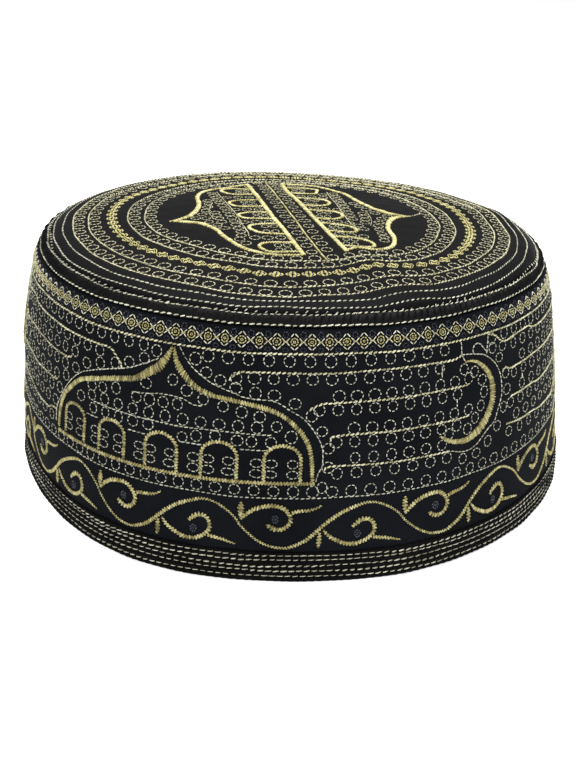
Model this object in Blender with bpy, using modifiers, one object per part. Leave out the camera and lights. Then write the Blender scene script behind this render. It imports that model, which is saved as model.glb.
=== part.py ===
"""An embroidered prayer cap of stiff quilted cloth.

A domed crown panel is joined to a tall side band by a gathered piping, and a quilted hem closes the lower edge.
Metres, +Z up. The cap stands on its hem, and the middle of the hem is the origin. -Y is the front of the cap.
"""

import math

import bpy

# The outer form
HEM_RADIUS = 0.0945
FOLD_RADIUS = 0.0854
CAP_HEIGHT = 0.0770
CROWN_RISE = 0.0040
FOLD_ROUNDING = 0.0131
FOLD_LEAN = math.radians(11.0)

# The crown leans a little to the right and to the back: the slope along +X and along +Y
CROWN_SLOPE_X = -0.0096
CROWN_SLOPE_Y = -0.0187

# How the cloth stands out of round. Each row is one wave round the cap: how many times it goes in and out, then how
# far at the hem and at the fold, as shares of the radius there, each with the direction of its highest point.
WAVE_COLUMNS = ("count", "hem_share", "hem_turn", "fold_share", "fold_turn")
WAVES = (
    (2, 0.004, -66.0, 0.016, -55.0),
    (3, 0.000, 0.0, 0.004, -13.0),
    (4, 0.006, -26.0, 0.006, -39.0),
    (6, 0.005, 27.0, 0.002, 17.0),
)

# The layers of cloth, and the play between two pieces at a seam
CROWN_CLOTH = 0.0024
BAND_CLOTH = 0.0026
HEM_CLOTH = 0.0030
PIPING_CLOTH = 0.0024
SEAM_GAP = 0.0003

# The hem, quilted by lines of stitches into puffed rows
HEM_HEIGHT = 0.0092
HEM_ROWS = 5
HEM_PUFF = 0.0005
HEM_EDGE_ROUNDING = 0.0006

# The piping, laid round the fold and gathered into small pleats
PIPING_WIDTH = 0.0036
PIPING_TURN = math.radians(46.0)
PIPING_PUFF = 0.0008
GATHER_PITCH = 0.0085
GATHER_SHARE = 0.6

# How finely the cloth is divided
STEPS_ROUND = 80
STEPS_PER_GATHER = 4
CROWN_STEPS = 5
FOLD_STEPS = 3
WALL_STEPS = 6
PIPING_STEPS = 4
MERGE_DISTANCE = 0.00005
SMOOTH_ANGLE = math.radians(50.0)

# Worked out from the sizes above
FOLD_CENTRE_RADIUS = FOLD_RADIUS - FOLD_ROUNDING * math.cos(FOLD_LEAN)
FOLD_CENTRE_HEIGHT = CAP_HEIGHT - FOLD_ROUNDING
FOLD_FOOT = FOLD_CENTRE_HEIGHT + FOLD_ROUNDING * math.sin(FOLD_LEAN)
PIPING_HALF_TURN = 0.5 * PIPING_WIDTH / FOLD_ROUNDING
SEAM_TURN = SEAM_GAP / (FOLD_ROUNDING - max(CROWN_CLOTH, BAND_CLOTH, PIPING_CLOTH))
QUARTER_TURN = 0.5 * math.pi


def clear_scene():
    for thing in list(bpy.data.objects):
        bpy.data.objects.remove(thing, do_unlink=True)


def wall_radius(height):
    """The side's outer radius: it bows in from the hem and runs into the fold with no kink."""
    share = height / FOLD_FOOT
    drop = HEM_RADIUS - FOLD_RADIUS
    bow = FOLD_FOOT * math.tan(FOLD_LEAN) - drop
    return HEM_RADIUS - (drop - bow) * share - bow * share**2


def wall_point(height, depth=0.0):
    """A point of the side at a height, as far inside the outer face as its depth."""
    return (wall_radius(height) - depth, height)


def fold_point(turn, depth=0.0):
    """A point of the rolled edge between side and crown. It faces outwards at turn 0 and up at a quarter turn."""
    reach = FOLD_ROUNDING - depth
    return (
        FOLD_CENTRE_RADIUS + reach * math.cos(turn),
        FOLD_CENTRE_HEIGHT + reach * math.sin(turn),
    )


def crown_point(share, depth=0.0):
    """A point of the crown, from its middle at share 0 to the rolled edge at share 1."""
    return (
        share * FOLD_CENTRE_RADIUS,
        CAP_HEIGHT + CROWN_RISE * (1.0 - share**2) - depth,
    )


def spread(first, last, steps):
    """Evenly spaced values from first to last, both counted."""
    return [first + (last - first) * step / steps for step in range(steps + 1)]


def crown_profile():
    edge = PIPING_TURN + PIPING_HALF_TURN + SEAM_TURN
    shares = spread(0.0, 1.0, CROWN_STEPS)
    turns = spread(QUARTER_TURN, edge, FOLD_STEPS)[1:]
    outer = [crown_point(share) for share in shares] + [fold_point(turn) for turn in turns]
    inner = [crown_point(share, CROWN_CLOTH) for share in shares]
    inner += [fold_point(turn, CROWN_CLOTH) for turn in turns]
    return outer + inner[::-1]


def band_profile():
    edge = PIPING_TURN - PIPING_HALF_TURN - SEAM_TURN
    turns = spread(edge, FOLD_LEAN, FOLD_STEPS)[:-1]
    heights = spread(FOLD_FOOT, HEM_HEIGHT + SEAM_GAP, WALL_STEPS)
    outer = [fold_point(turn) for turn in turns] + [wall_point(height) for height in heights]
    inner = [fold_point(turn, BAND_CLOTH) for turn in turns]
    inner += [wall_point(height, BAND_CLOTH) for height in heights]
    return outer + inner[::-1]


def piping_profile():
    """The piping's section: level with the crown and the side at its edges, and puffed up between them."""
    turns = spread(PIPING_TURN + PIPING_HALF_TURN, PIPING_TURN - PIPING_HALF_TURN, PIPING_STEPS)
    puffs = [PIPING_PUFF * math.sin(math.pi * share) for share in spread(0.0, 1.0, PIPING_STEPS)]
    outer = [fold_point(turn, -puff) for turn, puff in zip(turns, puffs)]
    inner = [fold_point(turn, PIPING_CLOTH) for turn in (turns[0], turns[-1])]
    return outer + inner[::-1]


def hem_profile():
    """The hem's section: a puff between each two lines of stitches, a rounded foot and a flat underside."""
    outer = []
    for share in spread(0.0, 1.0, 2 * HEM_ROWS):
        height = HEM_HEIGHT - (HEM_HEIGHT - HEM_EDGE_ROUNDING) * share
        puff = HEM_PUFF * abs(math.sin(math.pi * HEM_ROWS * share))
        outer.append(wall_point(height, -puff))
    foot = wall_point(0.0, HEM_EDGE_ROUNDING)
    inner = [wall_point(0.0, HEM_CLOTH), wall_point(HEM_HEIGHT, HEM_CLOTH)]
    return outer + [foot] + inner


def out_of_round(direction, rise):
    """How far the cloth stands outside its round form in a direction, as a share of the radius there."""
    total = 0.0
    for row in WAVES:
        wave = dict(zip(WAVE_COLUMNS, row))
        at_hem = wave["hem_share"] * math.cos(wave["count"] * (direction - math.radians(wave["hem_turn"])))
        at_fold = wave["fold_share"] * math.cos(wave["count"] * (direction - math.radians(wave["fold_turn"])))
        total += at_hem * (1.0 - rise) + at_fold * rise
    return total


def settle(mesh):
    """Moves a turned piece's points to where the cloth stands: out of round, and with the crown leaning."""
    for vertex in mesh.vertices:
        x, y, z = vertex.co
        rise = min(max(z / CAP_HEIGHT, 0.0), 1.0)
        stretch = 1.0 + out_of_round(math.atan2(x, -y), rise)
        x *= stretch
        y *= stretch
        vertex.co = (x, y, z + (CROWN_SLOPE_X * x + CROWN_SLOPE_Y * y) * rise)


def gather(mesh, gathers):
    """Lets the piping's puff rise and fall, so that it stands in pleats round the fold."""
    for vertex in mesh.vertices:
        x, y, z = vertex.co
        radius = math.hypot(x, y)
        out = radius - FOLD_CENTRE_RADIUS
        up = z - FOLD_CENTRE_HEIGHT
        puff = math.hypot(out, up) - FOLD_ROUNDING
        if puff < MERGE_DISTANCE:
            continue
        swell = 1.0 + GATHER_SHARE * math.cos(gathers * math.atan2(x, -y))
        grow = (FOLD_ROUNDING + puff * swell) / (FOLD_ROUNDING + puff)
        new_radius = FOLD_CENTRE_RADIUS + out * grow
        vertex.co = (x * new_radius / radius, y * new_radius / radius, FOLD_CENTRE_HEIGHT + up * grow)


def turned_mesh(name, profile, steps, closed):
    """A profile in the XZ plane, turned once round the cap's axis by a Screw modifier, as a mesh of its own."""
    line = bpy.data.meshes.new(name + "_profile")
    edges = [(index, index + 1) for index in range(len(profile) - 1)]
    if closed:
        edges.append((len(profile) - 1, 0))
    line.from_pydata([(radius, 0.0, height) for radius, height in profile], edges, [])
    guide = bpy.data.objects.new(name + "_profile", line)
    bpy.context.scene.collection.objects.link(guide)
    screw = guide.modifiers.new("Turn", "SCREW")
    screw.axis = "Z"
    screw.angle = 2.0 * math.pi
    screw.steps = steps
    screw.render_steps = steps
    screw.use_merge_vertices = True
    screw.merge_threshold = MERGE_DISTANCE
    shape = guide.evaluated_get(bpy.context.evaluated_depsgraph_get())
    mesh = bpy.data.meshes.new_from_object(shape)
    mesh.name = name
    bpy.data.objects.remove(guide, do_unlink=True)
    return mesh


def cloth_material(name, colour, roughness, sheen):
    material = bpy.data.materials.new(name)
    material.use_nodes = True
    material.diffuse_color = (*colour, 1.0)
    shader = material.node_tree.nodes["Principled BSDF"]
    shader.inputs["Base Color"].default_value = (*colour, 1.0)
    shader.inputs["Roughness"].default_value = roughness
    shader.inputs["Metallic"].default_value = 0.0
    shader.inputs["Sheen Weight"].default_value = sheen
    return material


def add_piece(name, mesh, material, collection, parent):
    """Settles a turned mesh into the cap's true form and puts it in the model."""
    settle(mesh)
    mesh.materials.append(material)
    mesh.shade_smooth()
    mesh.set_sharp_from_angle(angle=SMOOTH_ANGLE)
    piece = bpy.data.objects.new(name, mesh)
    piece.parent = parent
    collection.objects.link(piece)
    return piece


def add_crown_panel(collection, parent):
    mesh = turned_mesh("crown_panel", crown_profile(), STEPS_ROUND, closed=False)
    material = cloth_material("crown_cloth", (0.035, 0.034, 0.037), 0.55, 0.2)
    return add_piece("crown_panel", mesh, material, collection, parent)


def add_crown_piping(collection, parent):
    round_length = 2.0 * math.pi * fold_point(PIPING_TURN)[0]
    gathers = round(round_length / GATHER_PITCH)
    mesh = turned_mesh("crown_piping", piping_profile(), gathers * STEPS_PER_GATHER, closed=True)
    gather(mesh, gathers)
    material = cloth_material("piping_cloth", (0.012, 0.012, 0.014), 0.8, 0.2)
    return add_piece("crown_piping", mesh, material, collection, parent)


def add_side_band(collection, parent):
    mesh = turned_mesh("side_band", band_profile(), STEPS_ROUND, closed=True)
    material = cloth_material("band_cloth", (0.011, 0.014, 0.022), 0.75, 0.2)
    return add_piece("side_band", mesh, material, collection, parent)


def add_hem_band(collection, parent):
    mesh = turned_mesh("hem_band", hem_profile(), STEPS_ROUND, closed=True)
    material = cloth_material("hem_cloth", (0.012, 0.010, 0.010), 0.8, 0.2)
    return add_piece("hem_band", mesh, material, collection, parent)


def build_cap():
    clear_scene()
    collection = bpy.data.collections.new("prayer_cap")
    bpy.context.scene.collection.children.link(collection)
    cap = bpy.data.objects.new("prayer_cap", None)
    collection.objects.link(cap)
    add_crown_panel(collection, cap)
    add_crown_piping(collection, cap)
    add_side_band(collection, cap)
    add_hem_band(collection, cap)


build_cap()
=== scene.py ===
"""The looks of an embroidered prayer cap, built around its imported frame.

The cloth pieces are closed walls that follow the cap's own form, and every stitch is a small raised thread
laid on that form. Places are charted in millimetres. The side's chart gives a direction in degrees, 0 at the
front and positive to the right, and a height. The crown's chart gives x to the right and y to the back.
"""

import math

import bpy
import numpy as np
from mathutils import Matrix, Vector


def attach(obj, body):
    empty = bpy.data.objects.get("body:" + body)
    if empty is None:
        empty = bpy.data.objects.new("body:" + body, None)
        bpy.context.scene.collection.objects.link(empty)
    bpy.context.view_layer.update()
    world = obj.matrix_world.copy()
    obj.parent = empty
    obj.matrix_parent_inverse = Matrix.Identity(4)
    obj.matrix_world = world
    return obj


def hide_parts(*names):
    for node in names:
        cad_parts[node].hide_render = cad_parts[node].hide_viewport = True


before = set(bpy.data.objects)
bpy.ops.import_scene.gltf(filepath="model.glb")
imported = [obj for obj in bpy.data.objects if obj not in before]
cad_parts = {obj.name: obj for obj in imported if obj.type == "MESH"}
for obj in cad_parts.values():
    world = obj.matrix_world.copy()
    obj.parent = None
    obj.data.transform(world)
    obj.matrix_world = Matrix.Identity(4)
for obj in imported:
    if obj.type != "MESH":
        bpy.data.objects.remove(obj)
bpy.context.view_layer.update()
draw = np.random.default_rng(seed=11)

MM = 0.001
BODY = "root"

# The cap's form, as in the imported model, in millimetres
HEM_RADIUS = 94.5
FOLD_RADIUS = 85.4
CAP_HEIGHT = 77.0
CROWN_RISE = 4.0
FOLD_ROUNDING = 13.1
FOLD_LEAN = math.radians(11.0)
CROWN_SLOPE_X = -0.0096
CROWN_SLOPE_Y = -0.0187
HEM_HEIGHT = 9.2
PIPING_WIDTH = 3.6
PIPING_TURN = math.radians(46.0)
SEAM_GAP = 0.12
CROWN_CLOTH = 2.4
BAND_CLOTH = 2.6
HEM_CLOTH = 3.0
PIPING_CLOTH = 2.4

# Waves that bring the cloth out of round: how many, then at the hem and at the fold a share and a direction
WAVES = (
    (2, 0.004, -66, 0.016, -55), (3, 0, 0, 0.004, -13), (4, 0.006, -26, 0.006, -39),
    (6, 0.005, 27, 0.002, 17),
)

FOLD_CENTRE_RADIUS = FOLD_RADIUS - FOLD_ROUNDING * math.cos(FOLD_LEAN)
FOLD_CENTRE_HEIGHT = CAP_HEIGHT - FOLD_ROUNDING
FOLD_FOOT = FOLD_CENTRE_HEIGHT + FOLD_ROUNDING * math.sin(FOLD_LEAN)
WALL_DROP = HEM_RADIUS - FOLD_RADIUS
WALL_BOW = FOLD_FOOT * math.tan(FOLD_LEAN) - WALL_DROP
PIPING_HALF_TURN = 0.5 * PIPING_WIDTH / FOLD_ROUNDING
PIPING_TOP = FOLD_CENTRE_HEIGHT + FOLD_ROUNDING * math.sin(PIPING_TURN + PIPING_HALF_TURN)
PIPING_FOOT = FOLD_CENTRE_HEIGHT + FOLD_ROUNDING * math.sin(PIPING_TURN - PIPING_HALF_TURN)

# Where lines of stitches draw the cloth in: heights on the side, radii on the crown
HEM_SEAMS = (8.1, 6.8, 5.1, 3.5, 1.7)
TOP_CORD = 65.3
CHAIN_HEIGHT = 68.5
LOWER_RINGS = 27.4
LOWER_LINE = 25.4
BAND_SEAMS = (TOP_CORD, CHAIN_HEIGHT, LOWER_RINGS, LOWER_LINE)
CROWN_SEAMS = (49.2, 54.3, 59.4, 66.9, 72.4, 75.2, 78.2)
BAND_SEAM_WIDTH = 0.8
CROWN_SEAM_WIDTH = 1.1
HEM_PUFF = 0.55
HEM_PLEATS = 270
GATHERS = 250

# Where the worn cloth stands out from the even form, or in from it when negative: a direction and a spread
# in degrees, a height and a reach, and how far
SWELLS = (
    (-145, 38, 80, 7, 0.9), (-95, 30, 52, 20, 1.6), (-95, 30, 6, 10, -1.1), (-55, 18, 3, 9, -0.7),
    (100, 28, 68, 8, -1.3), (109, 9, 79, 6, 1.1), (95, 25, 42, 14, -0.7), (48, 22, 3, 14, 1.1),
    (22, 9, 3, 12, 0.6), (-20, 13, 3, 14, 0.7),
)

# The crown has one small pucker, at the front right
PUCKER_TURN = 25.0
PUCKER_SPREAD = 6.5
PUCKER_LIFT = 0.5

# The embroidery was sewn flat, and sits a little unevenly round the cap
DRIFT = 5.2
UNIT_TURN = 120.0
UNITS = 3
UNIT_STARTS = UNIT_TURN * np.arange(UNITS)

# The side's lowest rings and its vine slipped a little at the front right: direction and slip, in degrees
LOWER_SLIP = (
    (-170, 0), (-22, 0), (-10, 0.5), (0, 1), (12, 1.4), (24, 2.2), (32, 2), (45, 1.2), (80, 0.6), (110, 0),
)

# Where each ring of stitches on the crown runs: a direction in degrees, then the radius of every ring there
RING_LINES = (0.0,) + CROWN_SEAMS + (84.0,)
RING_CHART = (
    (-170, 49.5, 54.6, 59.6, 67, 72.4, 75.2, 78.2), (-150, 50, 55, 59.8, 67.4, 72.6, 75.3, 78.3),
    (-130, 50.6, 55.6, 60.6, 68.2, 73, 75.8, 78.5), (-110, 50.6, 56, 61.6, 69, 73.3, 76.1, 78.8),
    (-90, 50, 55.5, 61, 68.4, 73.1, 76.1, 78.9), (-75, 49.7, 54.9, 59.9, 67.6, 72.7, 75.7, 78.7),
    (-60, 49, 54.3, 58.9, 66.7, 72, 75.4, 78.6), (-50, 48, 53.3, 58.3, 66, 71.7, 75.3, 78.6),
    (-40, 47.4, 52.8, 58, 65.8, 71.6, 75.4, 78.3), (-30, 47.6, 53, 57.8, 65.9, 71.5, 75.5, 78.5),
    (-20, 48.2, 53.2, 58.2, 66.1, 71.9, 75.7, 78.5), (-14, 49, 53.8, 59, 67, 73.3, 76.2, 78.6),
    (-8, 49.2, 54.5, 59.8, 67.9, 73.9, 76.4, 78.6), (0, 48.9, 54.4, 59, 67.6, 73.6, 76, 78.3),
    (6, 48.7, 53.9, 58.1, 66.5, 72.2, 75.6, 78.4), (12, 48.4, 53.2, 57.6, 65.4, 71.9, 75.9, 78.6),
    (17, 48.1, 52.4, 56.8, 64.6, 71.3, 75.8, 78.6), (21, 47.8, 51.7, 56, 63.8, 70.2, 74.5, 78),
    (25, 47, 50.9, 55, 63.4, 69.8, 74.2, 77.7), (29, 47.4, 51.7, 55.4, 63.6, 70.2, 74.6, 77.9),
    (33, 48.3, 53.3, 57.2, 64.8, 71.4, 75.6, 78.8), (38, 49.8, 54.7, 58.8, 66.1, 71.5, 75.7, 79),
    (45, 50.8, 56, 60, 66.4, 71.4, 75.2, 78.7), (52, 50.6, 55.8, 60.5, 66.7, 71.2, 74.6, 77.9),
    (60, 49.7, 54.8, 59.5, 66.3, 71.1, 74.1, 77.4), (75, 48.1, 53.4, 58.3, 65.8, 70.7, 73.6, 76.7),
    (90, 47.7, 53, 58.2, 66.2, 71.1, 73.6, 76.5), (110, 46.8, 52.8, 58.6, 66.9, 71.7, 74.2, 77),
    (130, 47.8, 53.4, 59.2, 67, 72.2, 75, 77.9), (150, 49, 54.4, 60, 67.2, 72.5, 75.2, 78.2),
)


# The cap's surface


def wall_radius(height):
    share = height / FOLD_FOOT
    return HEM_RADIUS - (WALL_DROP - WALL_BOW) * share - WALL_BOW * share**2


def wall_lean(height):
    """How far the side faces upwards."""
    return np.arctan(((WALL_DROP - WALL_BOW) + 2.0 * WALL_BOW * height / FOLD_FOOT) / FOLD_FOOT)


def side_section(height):
    """The side's radius, and how far it faces upwards, at a height."""
    over = np.arcsin(np.clip((height - FOLD_CENTRE_HEIGHT) / FOLD_ROUNDING, -1.0, 1.0))
    on_wall = height <= FOLD_FOOT
    radius = np.where(on_wall, wall_radius(height), FOLD_CENTRE_RADIUS + FOLD_ROUNDING * np.cos(over))
    return radius, np.where(on_wall, wall_lean(height), over)


def crown_section(radius):
    """The crown's height, and how far it faces upwards, at a radius."""
    over = np.arccos(np.clip((radius - FOLD_CENTRE_RADIUS) / FOLD_ROUNDING, 0.0, 1.0))
    share = np.minimum(radius / FOLD_CENTRE_RADIUS, 1.0)
    on_flat = radius <= FOLD_CENTRE_RADIUS
    flat_height = CAP_HEIGHT + CROWN_RISE * (1.0 - share**2)
    flat_lean = 0.5 * math.pi - 2.0 * CROWN_RISE * share / FOLD_CENTRE_RADIUS
    height = np.where(on_flat, flat_height, FOLD_CENTRE_HEIGHT + FOLD_ROUNDING * np.sin(over))
    return height, np.where(on_flat, flat_lean, over)


def settle(turn, radius, height):
    """Points in metres of the cap as it stands, out of round and with its crown leaning."""
    rise = np.clip(height / CAP_HEIGHT, 0.0, 1.0)
    stretch = 1.0
    for count, hem_share, hem_turn, fold_share, fold_turn in WAVES:
        stretch = stretch + hem_share * (1.0 - rise) * np.cos(count * (turn - math.radians(hem_turn)))
        stretch = stretch + fold_share * rise * np.cos(count * (turn - math.radians(fold_turn)))
    x = radius * stretch * np.sin(turn)
    y = -radius * stretch * np.cos(turn)
    return np.stack([x, y, height + (CROWN_SLOPE_X * x + CROWN_SLOPE_Y * y) * rise], axis=-1) * MM


def lifted(turn, radius, height, lean, out):
    """Points in metres that stand that far out from the cap's even form."""
    return settle(turn, radius + out * np.cos(lean), height + out * np.sin(lean))


def dip(value, centre, width):
    return np.exp(-(((value - centre) / width) ** 2))


def swell(turn, height):
    direction = np.degrees(turn)
    out = 0.0
    for centre, spread, level, reach, amount in SWELLS:
        off = (direction - centre + 180.0) % 360.0 - 180.0
        out = out + amount * dip(off, 0.0, spread) * dip(height, level, reach)
    return out


def hem_relief(turn, height):
    """The hem's quilting: a puff between each two lines of stitches, and small slanting pleats."""
    levels = np.array((HEM_HEIGHT + 0.3,) + HEM_SEAMS + (-0.5,))[::-1]
    row = np.clip(np.searchsorted(levels, height) - 1, 0, len(levels) - 2)
    share = np.clip((height - levels[row]) / (levels[row + 1] - levels[row]), 0.0, 1.0)
    puff = HEM_PUFF * np.abs(np.sin(math.pi * share)) ** 0.8
    pleat = np.cos(HEM_PLEATS * turn + 1.4 * height + 1.5 * np.sin(9.0 * turn))
    broad = np.sin(37.0 * turn + 0.9 * height) + 0.7 * np.sin(23.0 * turn - 1.3 * height + 1.0)
    return puff * (1.0 + 0.22 * pleat + 0.14 * broad)


def band_relief(turn, height):
    """The side's cloth: drawn in along its lines of stitches, and lightly rippled between them."""
    drawn = sum(dip(height, seam, BAND_SEAM_WIDTH) for seam in BAND_SEAMS)
    slow = np.sin(11.0 * turn + 0.07 * height) * np.sin(0.16 * height + 2.0 * np.sin(3.0 * turn))
    quick = np.sin(41.0 * turn - 0.30 * height) * np.sin(0.45 * height + 5.0 * turn)
    return 0.12 * slow + 0.05 * quick - 0.16 * drawn


def piping_relief(turn, share):
    """The gathered strip's small slanting pleats, at a share of its width."""
    sway = 1.3 * np.sin(13.0 * turn) + 0.9 * np.sin(31.0 * turn + 1.0)
    fine = np.cos(GATHERS * turn + 4.0 * share + sway)
    broad = np.cos(71.0 * turn + 2.5 * share + 0.6 * sway)
    puff = np.sin(math.pi * np.clip(share, 0.0, 1.0)) ** 0.8
    return puff * (0.36 + 0.36 * fine + 0.20 * broad)


def side_relief(turn, height):
    edge = np.clip((height - HEM_HEIGHT) / 0.3, 0.0, 1.0)
    share = (PIPING_TOP - height) / (PIPING_TOP - PIPING_FOOT)
    plain = hem_relief(turn, height) * (1.0 - edge) + band_relief(turn, height) * edge
    return plain + piping_relief(turn, share) + swell(turn, height)


def crown_relief(turn, radius):
    """The crown's cloth: drawn in along its rings of stitches, and lightly rippled between them."""
    ring = radius - ring_drift(turn, radius)
    drawn = sum(dip(ring, seam, CROWN_SEAM_WIDTH) for seam in CROWN_SEAMS)
    far = np.clip(radius / 30.0, 0.0, 1.0)
    slow = np.sin(5.0 * turn + 0.05 * radius) * np.sin(0.11 * radius + 1.0)
    quick = np.sin(29.0 * turn + 0.2 * radius) * np.sin(0.5 * radius + 3.0 * turn)
    reach = np.clip((radius - 40.0) / 10.0, 0.0, 1.0) * np.clip((82.0 - radius) / 8.0, 0.0, 1.0)
    pucker = PUCKER_LIFT * reach * dip(np.degrees(turn), PUCKER_TURN, PUCKER_SPREAD)
    height, _ = crown_section(radius)
    rim = np.clip((radius - 50.0) / 22.0, 0.0, 1.0)
    return far * (0.18 * slow + 0.06 * quick) + rim * swell(turn, height) - 0.07 * drawn + pucker


def ring_drift(turn, radius):
    """How far the crown's rings of stitches run out of true."""
    direction = np.degrees(turn)
    chart = np.array(RING_CHART)
    fine = np.arange(-180.0, 180.0)
    lines = [np.zeros(fine.shape)]
    for k in range(1, len(RING_LINES) - 1):
        line = np.interp(fine, chart[:, 0], chart[:, k] - RING_LINES[k], period=360.0)
        lines.append(0.5 * line + 0.25 * (np.roll(line, 1) + np.roll(line, -1)))
    lines.append(lines[0])
    drift = np.zeros(np.broadcast(direction, radius).shape)
    near = np.interp(direction, fine, lines[0], period=360.0)
    for k in range(1, len(RING_LINES)):
        here = np.interp(direction, fine, lines[k], period=360.0)
        share = np.clip((radius - RING_LINES[k - 1]) / (RING_LINES[k] - RING_LINES[k - 1]), 0.0, 1.0)
        drift = drift + share * (here - near)
        near = here
    return drift


class Side:
    """The side's chart: columns direction and height."""

    @staticmethod
    def surface(points, lift):
        turn = np.radians(points[..., 0])
        height = points[..., 1]
        radius, lean = side_section(height)
        return lifted(turn, radius, height, lean, lift + side_relief(turn, height))

    @staticmethod
    def scale(points):
        """Millimetres of cloth for one step along each column."""
        radius, lean = side_section(points[..., 1])
        return np.stack([np.radians(radius), 1.0 / np.cos(np.minimum(lean, 1.3))], axis=-1)


class Crown:
    """The crown's chart: columns x and y."""

    @staticmethod
    def surface(points, lift):
        turn = np.arctan2(points[..., 0], -points[..., 1])
        radius = np.hypot(points[..., 0], points[..., 1])
        height, lean = crown_section(radius)
        return lifted(turn, radius, height, lean, lift + crown_relief(turn, radius))

    @staticmethod
    def scale(points):
        return np.ones(points.shape[:-1] + (2,))


def sewn_turn(direction):
    """The direction that a place had on the flat cloth."""
    turn = np.array(direction, float)
    for _ in range(30):
        turn = direction - DRIFT * (1.0 - np.cos(np.radians(turn)))
    return turn


def worn_turn(turn):
    return turn + DRIFT * (1.0 - np.cos(np.radians(turn)))


def slipped(points):
    """Charted points near the foot of the side, moved along by the slip of the lower strip."""
    points = np.array(points, float)
    chart = np.array(LOWER_SLIP)
    points[..., 0] += np.interp(points[..., 0], chart[:, 0], chart[:, 1], period=360.0)
    return points


def turned(points, turn):
    """Charted points of the side, moved round the cap to where the pattern repeats."""
    points = np.array(points, float)
    points[..., 0] = worn_turn(sewn_turn(points[..., 0]) + turn)
    return points


# Lines and stitches


def between(first, last, steps):
    return np.linspace(first, last, steps + 1)


def smooth_line(points, steps=8):
    """A smooth curve through the points. Further columns, such as a width, follow it."""
    points = np.array(points, float)
    around = np.concatenate([2 * points[:1] - points[1:2], points, 2 * points[-1:] - points[-2:-1]])
    t = np.arange(steps)[None, :, None] / steps
    a, b, c, d = (around[k : len(around) - 3 + k, None, :] for k in range(4))
    curve = b + 0.5 * t * (c - a + t * (2 * a - 5 * b + 4 * c - d + t * (3 * (b - c) + d - a)))
    return np.concatenate([curve.reshape(-1, points.shape[1]), points[-1:]])


def lengths_along(chart, line):
    middle = 0.5 * (line[1:, :2] + line[:-1, :2])
    steps = np.linalg.norm(np.diff(line[:, :2], axis=0) * chart.scale(middle), axis=1)
    return np.concatenate([[0.0], np.cumsum(steps)])


def at_lengths(line, along, wanted):
    return np.stack([np.interp(wanted, along, line[:, k]) for k in range(line.shape[1])], axis=-1)


def courses(steps):
    """The unit course of each step, the course across it, and its length."""
    length = np.maximum(np.linalg.norm(steps, axis=1, keepdims=True), 1e-6)
    course = steps / length
    return course, np.stack([-course[:, 1], course[:, 0]], axis=1), length


# In millimetres, how unevenly the needle sets each end
UNEVEN = 0.03

# A line of stitches wanders in two waves, in radians a millimetre, each from any phase up to the last
SWAY_WAVES = (0.21, 0.083)
LAST_PHASE = 6.28

# The share of a lozenge's stitch that is left open at each end
LOZENGE_TRIM = 0.06

# A thread's section along its length: share of the length, girth and crest. Its ends go under the cloth.
SPINDLE_RINGS = ((0.12, 0.66, 0.70), (0.5, 1.0, 1.0), (0.88, 0.66, 0.70))
END_SINK = -0.14
EDGE_LIFT = 0.05
UNDER_SINK = -0.10


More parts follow.
